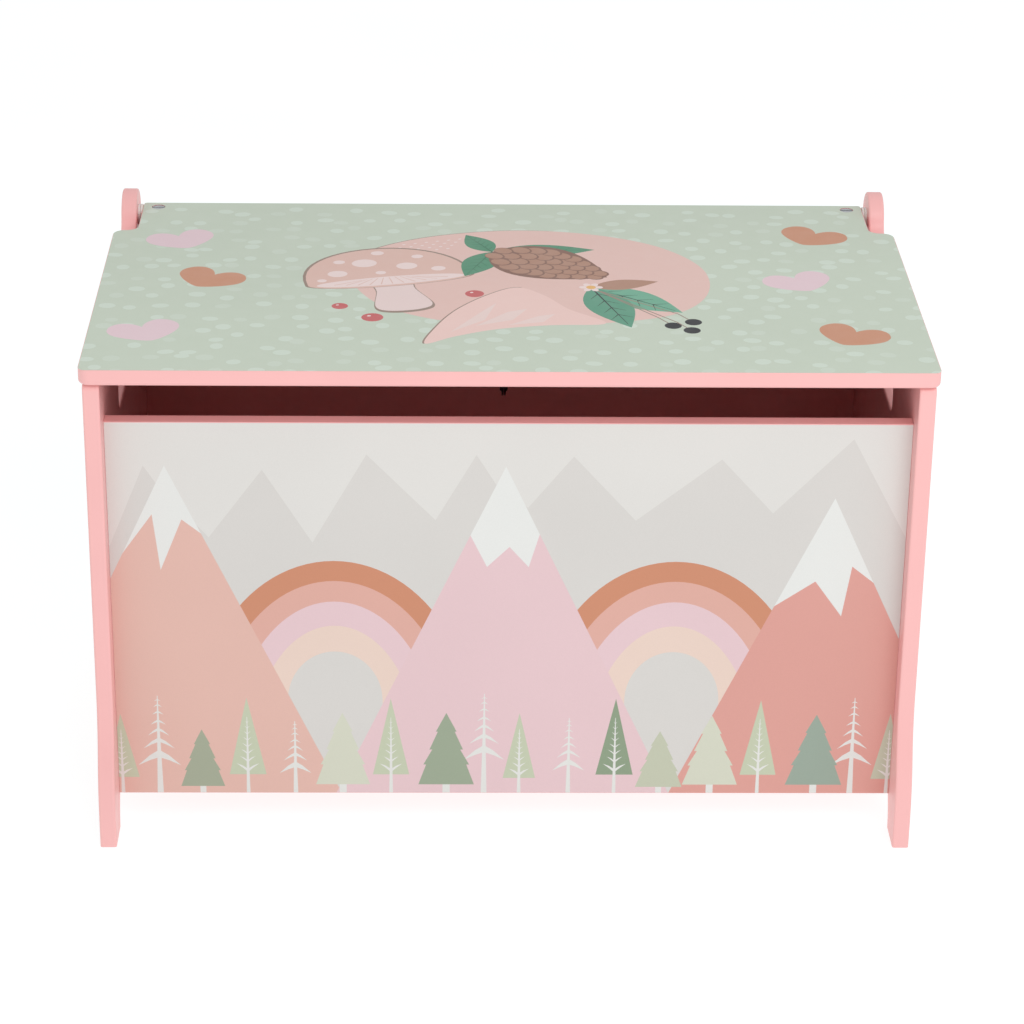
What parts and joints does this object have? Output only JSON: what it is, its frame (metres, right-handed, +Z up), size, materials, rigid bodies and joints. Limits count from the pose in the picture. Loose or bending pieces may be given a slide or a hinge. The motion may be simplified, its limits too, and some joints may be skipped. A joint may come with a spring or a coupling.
{
  "type": "toy box",
  "caption": "Low wooden toy box with a hinged lid, shaped side panels with hand holes and feet, and an open finger gap above the front panel.",
  "frame": {"origin": "on the floor, in the middle of the footprint", "axes": "+X to the right along the lid's width, +Y to the back, +Z up; the printed front faces -Y"},
  "size_m": [0.6, 0.37, 0.387],
  "materials": {
    "lid_board": "satin print and paint",
    "side_board": "satin paint",
    "front_board": "satin print and paint",
    "inner_board": "satin paint",
    "zinc_steel": "zinc plated",
    "beech_dowel": "raw",
    "white_nylon": "matt",
    "black_steel": "satin black"
  },
  "bodies": {
    "box": {"left_side_panel": "side_board", "right_side_panel": "side_board", "front_panel": "front_board", "back_panel": "inner_board", "base_panel": "inner_board", "front_panel_bolts": "zinc_steel", "back_panel_bolts": "zinc_steel", "base_panel_bolts": "zinc_steel", "front_panel_nuts": "zinc_steel", "back_panel_nuts": "zinc_steel", "base_panel_nuts": "zinc_steel", "front_panel_dowels": "beech_dowel", "back_panel_dowels": "beech_dowel", "base_panel_dowels": "beech_dowel", "left_pivot_bush": "white_nylon", "right_pivot_bush": "white_nylon", "stay_back_bracket": "black_steel", "stay_back_rivet": "black_steel", "stay_back_screws": "black_steel"},
    "lid": {"lid_panel": "lid_board", "left_pivot_bolt": "zinc_steel", "right_pivot_bolt": "zinc_steel", "left_pivot_nut": "zinc_steel", "right_pivot_nut": "zinc_steel", "left_spacer_washer": "white_nylon", "right_spacer_washer": "white_nylon", "stay_lid_bracket": "black_steel", "stay_lid_rivet": "black_steel", "stay_lid_screws": "black_steel"},
    "lower_arm": {"stay_lower_arm": "black_steel", "stay_elbow_rivet": "black_steel"},
    "upper_arm": {"stay_upper_arm": "black_steel"}
  },
  "joints": [
    {"name": "lid_hinge", "type": "hinge", "parent": "box", "child": "lid", "pos_m": [0, 0.164, 0.367], "axis": [-1, 0, 0], "range_deg": [0, 85]},
    {"name": "stay_lower_pivot", "type": "hinge", "parent": "box", "child": "lower_arm", "pos_m": [0, 0.158, 0.279], "axis": [-1, 0, 0], "range_deg": [0, 85]},
    {"name": "stay_upper_pivot", "type": "hinge", "parent": "lid", "child": "upper_arm", "pos_m": [0, 0.076, 0.349], "axis": [1, 0, 0], "range_deg": [0, 85]}
  ],
  "couplings": [
    {"joint": "stay_lower_pivot", "follows": "lid_hinge", "ratio": 1},
    {"joint": "stay_upper_pivot", "follows": "lid_hinge", "ratio": 1}
  ]
}
